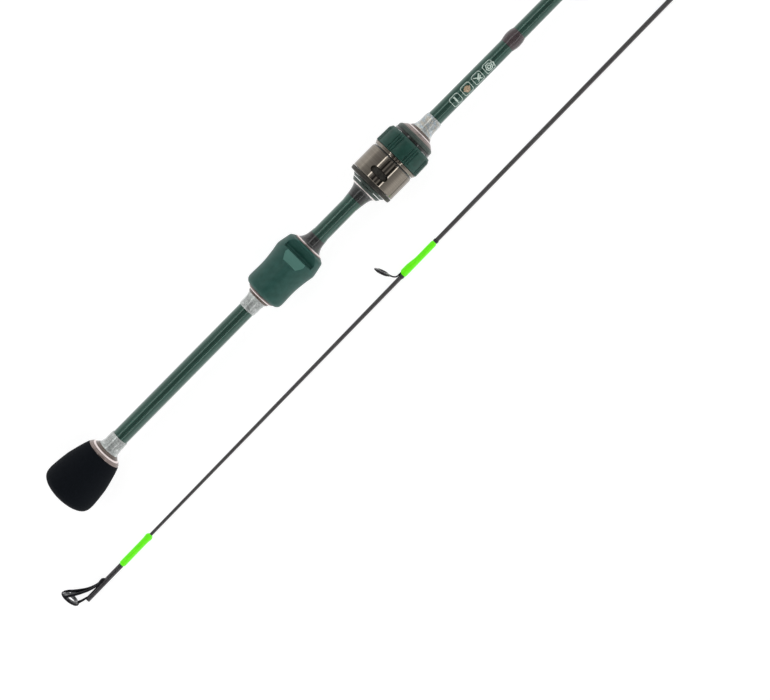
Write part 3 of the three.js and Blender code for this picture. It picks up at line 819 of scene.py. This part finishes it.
def ribbon(points, width, closed=False, lift=0.03):
    """A thin printed line on the blank. Points are [x, distance round the blank]."""
    pts = [Vector(p) for p in points]
    count = len(pts)
    verts, faces = [], []
    for i, p in enumerate(pts):
        before = pts[i - 1] if closed or i else p
        after = pts[(i + 1) % count] if closed or i < count - 1 else p
        ahead = (after - before).normalized()
        side = Vector((-ahead.y, ahead.x)) * width / 2
        for q in (p + side, p - side):
            radius = blank_at(q.x)
            for r in (radius + lift, radius - 0.05):
                verts.append((q.x, r * math.sin(q.y / radius), r * math.cos(q.y / radius)))
    last = count if closed else count - 1
    for i in range(last):
        a, b = 4 * i, 4 * ((i + 1) % count)
        for k, m in ((0, 2), (2, 3), (3, 1), (1, 0)):
            faces.append([a + k, a + m, b + m, b + k])
    if not closed:
        faces += [[0, 1, 3, 2], [4 * last, 4 * last + 2, 4 * last + 3, 4 * last + 1]]
    return mesh_from(verts, faces)


def rounded_square(middle, length, height, corner, steps=5):
    (cx, cy), a, b = middle, length / 2 - corner, height / 2 - corner
    out = []
    for k, (sx, sy) in enumerate(((1, 1), (-1, 1), (-1, -1), (1, -1))):
        for i in range(steps + 1):
            t = math.pi / 2 * (k + i / steps)
            out.append((cx + sx * a + corner * math.cos(t), cy + sy * b + corner * math.sin(t)))
    return out


def circle(middle, radius, steps=24):
    turn = 2 * math.pi / steps
    angles = [turn * i for i in range(steps)]
    return [(middle[0] + radius * math.cos(a), middle[1] + radius * math.sin(a)) for a in angles]


def dense(points, step=0.25):
    """The same line with points no further apart than step, so that it bends round the blank."""
    out = []
    for a, b in zip(points, points[1:]):
        count = max(1, math.ceil(math.dist(a, b) / step))
        out += [(a[0] + (b[0] - a[0]) * i / count, a[1] + (b[1] - a[1]) * i / count) for i in range(count)]
    return out + [points[-1]]


def pictograms():
    """Four generic care signs in rounded frames: a bar, a leaf, a crossing and a nut."""
    across = -1.3
    middles = [(281.1, across), (288.8, across), (296.5, across), (304.3, across)]
    frames = []
    for middle in middles:
        outline = rounded_square(middle, 5.7, 5.5, 1.2)
        frames.append(ribbon(dense(outline + outline[:1])[:-1], 0.3, closed=True))
    piece("sign_frames", merged(frames), HANDLE, HANDLE_BODY, WHITE)
    x, y = middles[0]
    lines = [ribbon(dense([(x, y - 1.2), (x, y + 1.9)]), 0.9)]
    lines.append(ribbon(dense([(x - 0.5, y - 1.8), (x + 0.5, y - 1.8)]), 0.35))
    x, y = middles[2]
    lines.append(ribbon(dense([(x - 2.0, y + 1.6), (x + 0.2, y - 0.2), (x + 1.7, y - 1.7)]), 0.55))
    lines.append(ribbon(dense([(x + 1.8, y + 1.5), (x - 0.6, y - 0.6)]), 0.85))
    lines.append(ribbon(dense([(x - 0.9, y - 1.6), (x + 1.9, y + 0.3)]), 0.45))
    x, y = middles[3]
    corners = circle((x, y), 1.9, 6)
    lines.append(ribbon(dense(corners + corners[:1])[:-1], 0.5, True))
    lines.append(ribbon(circle((x, y), 0.85), 0.5, True))
    lines.append(ribbon(dense([(x + 1.8, y + 1.4), (x + 3.2, y + 0.2), (x + 2.2, y - 1.5)]), 0.5))
    piece("sign_lines", merged(lines), HANDLE, HANDLE_BODY, WHITE)
    x, y = middles[1]
    leaf = []
    for k in range(7):
        lean = (k - 3) / 3
        tip = (x + 1.9 * lean, y + 1.7 - 1.1 * lean * lean)
        vein = flowing([(x + 0.5 * lean, y - 1.7), (x + 1.5 * lean, y - 0.1), tip], 3)
        leaf.append(ribbon(dense(vein), 0.62))
    piece("sign_leaf", merged(leaf), HANDLE, HANDLE_BODY, TAN)


pictograms()


# ---------------------------------------------------------------- guides

HOOP_WIRE = 0.45


def leaned(x, height, lean):
    return Matrix.Translation((x, 0, height)) @ Matrix.Rotation(-math.radians(lean), 4, "Y")


def hoop(radius, wire, x, height, lean):
    sides = 12
    angles = [2 * math.pi * i / sides for i in range(sides)]
    section = [(wire * math.cos(a), radius + wire * math.sin(a)) for a in angles]
    mesh = turned(section + section[:1], 64)
    mesh.transform(leaned(x, height, lean))
    return mesh


def insert(name, place, body, outer, inner, half_thickness, x, height, lean):
    """The ceramic ring, with a soft rectangular section."""
    middle, half = (outer + inner) / 2, (outer - inner) / 2
    section = []
    for i in range(20):
        c, s = math.cos(math.pi * i / 10), math.sin(math.pi * i / 10)
        soft = (abs(c) ** 3 + abs(s) ** 3) ** (-1 / 3)
        section.append((half_thickness * soft * c, middle + half * soft * s))
    mesh = turned(section + section[:1], 72, sharp=60)
    mesh.transform(leaned(x, height, lean))
    piece(name + "_ceramic", mesh, place, body, CERAMIC, [name + "_insert"])


def wrap_over_foot(start, end, blank_radius, height, side, foot_length):
    """A thread wrap that rises over the guide's foot and drops to the blank past it."""
    low, high = min(start, end), max(start, end)
    rows = [(low, blank_radius + 0.12)]
    rows += [(low + 0.5, height - 0.1), (low + 1.2, height)]
    count = 40
    rows += [(low + 1.2 + (high - low - 2.6) * (i + 1) / count, height) for i in range(count)]
    rows += [(high - 0.6, height - 0.1), (high, blank_radius + 0.12)]

    def relief(x, angle):
        from_mouth = (x - start) * side
        along = max(0.0, min(1.0, 1 - (from_mouth - foot_length * 0.45) / (foot_length * 0.75)))
        edge = max(0.0, min(1.0, (x - low) / 1.0, (high - x) / 1.0))
        top = max(0.0, math.cos(angle)) ** 3
        return 0.85 * along * along * (3 - 2 * along) * edge * top

    return turned(bored(rows, blank_radius + 0.02), 48, relief)


def line_guide(name, place, body, x, blank_radius, ring_radius, height, lean, leg_wire, feet, wrap_radius):
    seat_radius = ring_radius - HOOP_WIRE
    tilt = math.radians(lean)
    bottom_x = x + seat_radius * math.sin(tilt)
    bottom_z = height - seat_radius * math.cos(tilt)
    foot_z = blank_radius + 0.3 + leg_wire
    parts = [hoop(seat_radius, HOOP_WIRE, x, height, lean)]
    for side, reach, length in feet:
        leg = flowing([
            (bottom_x, 0, bottom_z + 0.1),
            (bottom_x + side * reach * 0.3, 0, bottom_z + (foot_z - bottom_z) * 0.55),
            (bottom_x + side * reach, 0, foot_z),
            (bottom_x + side * (reach + 2.2), 0, foot_z - 0.15),
            (bottom_x + side * (reach + length), 0, blank_radius + 0.42),
        ])
        parts.append(swept(leg, [leg_wire * 1.15, leg_wire, leg_wire, leg_wire * 0.9, leg_wire * 0.6]))
        start = bottom_x + side * (reach + 2.6)
        end = start + side * (length + 13.3)
        suffix = ("_rear" if side > 0 else "_front") if len(feet) > 1 else ""
        wrap = wrap_over_foot(start, end, blank_radius, wrap_radius, side, length)
        piece(name + "_thread" + suffix, wrap, place, body, NEON, [name + "_wrap" + suffix])
        trims = []
        for at, way, width in ((start, -side, 1.7), (end, side, 1.6)):
            a, b = sorted((at, at + way * width))
            trim = [
                (a, blank_radius + 0.1), (a + 0.4, wrap_radius - 0.24),
                (b - 0.3, wrap_radius - 0.22), (b, blank_radius + 0.3),
            ]
            trims.append(turned(rounded(bored(trim, blank_radius + 0.02), 0.2), 48))
        piece(name + "_trim" + suffix, merged(trims), place, body, BLACK_THREAD_AND_GAP_SHADE)
    mesh = moulded(merged(parts), 0.11, 3)
    piece(name + "_wire", mesh, place, body, STEEL, [name + "_frame"])
    outer = ring_radius - 3 * HOOP_WIRE + 0.35
    insert(name, place, body, outer, ring_radius - 2.05, 0.85, x, height, lean)


# ---------------------------------------------------------------- the tip section

TIP_BODY = "tip_section"


def tip_blank():
    outside = [
        (9.5, 0), (9.5, 0.72), (60, 0.85), (150, 1.0), (220, 1.1), (426, 1.3), (600, 1.5), (774.7, 1.65),
    ]
    blank = turned(outside + [(774.7, 0)], 32)
    piece("tip_rod", blank, TIP, TIP_BODY, CHARCOAL, ["tip_blank"])
    plug = [(728, 2.0), (728.6, 2.15), (773.6, 2.12), (774.6, 1.95), (775, 1.6)]
    mesh = turned(rounded(plug + [(775, 1.5), (728, 1.5), (728, 2.0)], 0.2), 64)
    piece("plug_body", mesh, TIP, TIP_BODY, CARBON, ["ferrule_plug"])
    wrap = flowing([
        (706, 1.7), (706.8, 2.15), (708.5, 2.38), (716, 2.4), (725, 2.4), (727, 2.3), (727.7, 2.05),
    ], 5)
    mesh = turned(rounded(bored(wrap, 1.6), 0.1), 64)
    piece("plug_thread", mesh, TIP, TIP_BODY, NEON, ["plug_wrap"])


def tip_top():
    ring_radius, height, lean, at = 5.35, 7.25, 6, 2.95
    tube = turned(rounded(bored([(7.8, 1.35), (32.6, 1.35)], 1.02), 0.12), 48)
    piece("tip_top_tube", tube, TIP, TIP_BODY, TUBE)
    parts = [hoop(ring_radius - HOOP_WIRE, HOOP_WIRE, at, height, lean)]
    for side in (-1, 1):
        leg = flowing([
            (at - 0.1, side * 2.9, height + 3.95),
            (at + 1.6, side * 2.75, height + 2.4),
            (at + 4.2, side * 2.1, 7.3),
            (at + 9, side * 1.2, 3.9),
            (at + 13.4, side * 0.75, 2.1),
            (20.6, side * 0.45, 1.5),
        ])
        parts.append(swept(leg, [0.5, 0.7, 0.68, 0.58, 0.5, 0.45]))
    strut = flowing([(at + 1.1, 0, height - 4.6), (at + 3.2, 0, 1.75), (8.8, 0, 1.05)])
    parts.append(swept(strut, [0.8, 0.65, 0.6, 0.5]))
    band = flowing([
        (5.2, 0, 8.9), (6.4, 0, 7.5), (8.2, 0, 5.7), (11.4, 0, 3.7), (15, 0, 2.35), (18.6, 0, 1.75),
    ])
    parts.append(strap(band, [2.6, 2.2, 1.7, 1.1, 0.7, 0.5], 0.45))
    braze = flowing([(17.6, 0, 1.6), (19, 0, 1.75), (20.6, 0, 1.75), (21.9, 0, 1.3)])
    parts.append(swept(braze, [0.35, 0.85, 0.9, 0.35]))
    mesh = moulded(merged(parts), 0.1, 3)
    piece("tip_top_wire", mesh, TIP, TIP_BODY, STEEL, ["tip_top_frame"])
    insert("tip_top", TIP, TIP_BODY, 4.35, 3.05, 0.9, at + 0.2, height, lean)
    wrap = flowing([
        (32.7, 1.3), (33.2, 1.62), (34.4, 1.74), (42, 1.7), (49.8, 1.72), (51.8, 1.95), (52.9, 1.86),
        (53.7, 1.35), (54, 1.0),
    ], 5)
    mesh = turned(bored(wrap, 0.9), 48)
    piece("tip_top_thread", mesh, TIP, TIP_BODY, NEON, ["tip_top_wrap"])


tip_blank()
tip_top()
for number, (x, blank_radius, ring_radius, height, reach) in enumerate(
    [(231.4, 1.12, 4.5, 9.1, 2.1), (452, 1.34, 5.4, 10.2, 2.6), (640, 1.56, 6.8, 11.6, 3.4)], 1
):
    line_guide(
        f"tip_guide_{number}", TIP, TIP_BODY, x, blank_radius, ring_radius, height, 20, 0.42,
        [(1, reach, 10)], blank_radius + 0.55,
    )
line_guide("handle_guide", HANDLE, HANDLE_BODY, 590, 3.42, 8.5, 15, 8, 0.7, [(1, 9, 9), (-1, 6, 9)], 4.3)


# ---------------------------------------------------------------- floor, light and camera

CAMERA_DISTANCE = 750
PICTURE_WIDTH = 385
BELOW_CAMERA = Vector((217, -30, 0))
PICTURE_MIDDLE = Vector((167.4, -63.55, 0))
SECTION_ANGLE = math.radians(45.37)
SENSOR = 36


def floor():
    mesh = mesh_from([(-3, -3, 0), (3, -3, 0), (3, 3, 0), (-3, 3, 0)], [[0, 1, 2, 3]])
    made = bpy.data.objects.new("floor", mesh)
    bpy.context.scene.collection.objects.link(made)
    made.location.z = cad_box[0].z - 0.0002
    paint = Paint("pale_floor", Roughness=0.9)
    paint.shader.inputs["Base Color"].default_value = grey(0.3)
    paint.shader.inputs["Emission Color"].default_value = grey(1)
    paint.shader.inputs["Emission Strength"].default_value = 0.86
    mesh.materials.append(paint.material)


def studio():
    """Brightness by angle across the rod: two strip lights, bands between them and pale walls.
    The strips and bands were worked out from reflections in the photograph, so this is not the plain soft
    studio that was asked for; report.md says so."""
    world = bpy.data.worlds.new("studio")
    bpy.context.scene.world = world
    world.use_nodes = True
    tree = world.node_tree

    def node(kind, values, inputs=(), **settings):
        made = tree.nodes.new("ShaderNode" + kind)
        for key, value in settings.items():
            setattr(made, key, value)
        for key, value in values.items():
            made.inputs[key].default_value = value
        for key, socket in inputs:
            tree.links.new(socket, made.inputs[key])
        return made

    direction = node("TexCoord", {}).outputs["Generated"]
    parts = node("SeparateXYZ", {}, [(0, direction)]).outputs
    angle = node("Math", {}, [(0, parts["Y"]), (1, parts["Z"])], operation="ARCTAN2").outputs[0]
    share = node("MapRange", {"From Min": -math.pi, "From Max": math.pi}, [("Value", angle)]).outputs[0]
    ramp = node("ValToRGB", {}, [("Fac", share)])
    brightest, end_walls, strength = 3.2, 0.9, 1.4
    stops = [
        (-180, 0.9), (-92, 0.9), (-86, 0.85), (-76, 0.75), (-66, 0.5), (-41, 0.3), (-40, 3.2), (-37, 3.2),
        (-35.5, 0.06), (-28, 0.03), (-24, 0.03), (-21, 0.34), (-17, 0.34), (-14, 0.1), (-9, 0.06), (-6, 0.1),
        (-3, 0.32), (1, 0.32), (4, 0.03), (9, 0.03), (13, 0.14), (18, 0.14), (21, 0.42), (27, 0.42),
        (28.5, 2.8), (32, 2.8), (33.5, 0.26), (60, 0.36), (76, 0.45), (86, 0.7), (92, 0.9), (180, 0.9),
    ]
    elements = ramp.color_ramp.elements
    while len(elements) < len(stops):
        elements.new(0.5)
    for element, (degrees, value) in zip(elements, stops):
        element.position = (degrees + 180) / 360
        element.color = grey(value / brightest)
    ends = node("Math", {}, [(0, parts["X"])], operation="ABSOLUTE").outputs[0]
    ends = node("MapRange", {"From Min": 0.84, "From Max": 0.93}, [("Value", ends)]).outputs[0]
    links = [(0, ends), (6, ramp.outputs["Color"])]
    mixed = node("Mix", {7: grey(end_walls / brightest)}, links, data_type="RGBA")
    background = tree.nodes["Background"]
    tree.links.new(mixed.outputs[2], background.inputs["Color"])
    background.inputs["Strength"].default_value = strength * brightest


def camera():
    """Straight down from CAMERA_DISTANCE above the handle section's axis, with the picture shifted."""
    right = Vector((math.cos(SECTION_ANGLE), -math.sin(SECTION_ANGLE), 0))
    up = Vector((math.sin(SECTION_ANGLE), math.cos(SECTION_ANGLE), 0))
    data = bpy.data.cameras.new("camera")
    data.sensor_width = SENSOR
    data.lens = SENSOR * CAMERA_DISTANCE / PICTURE_WIDTH
    offset = PICTURE_MIDDLE - BELOW_CAMERA
    data.shift_x = offset.dot(right) / PICTURE_WIDTH
    data.shift_y = offset.dot(up) / PICTURE_WIDTH
    data.clip_start, data.clip_end = 0.01, 20
    made = bpy.data.objects.new("camera", data)
    bpy.context.scene.collection.objects.link(made)
    turn = Matrix((right, up, (0, 0, 1))).transposed().to_4x4()
    place = HANDLE @ (BELOW_CAMERA + Vector((0, 0, CAMERA_DISTANCE)))
    made.matrix_world = Matrix.Translation(place) @ turn
    bpy.context.scene.camera = made


floor()
studio()
camera()
bpy.context.scene.view_settings.view_transform = "Standard"
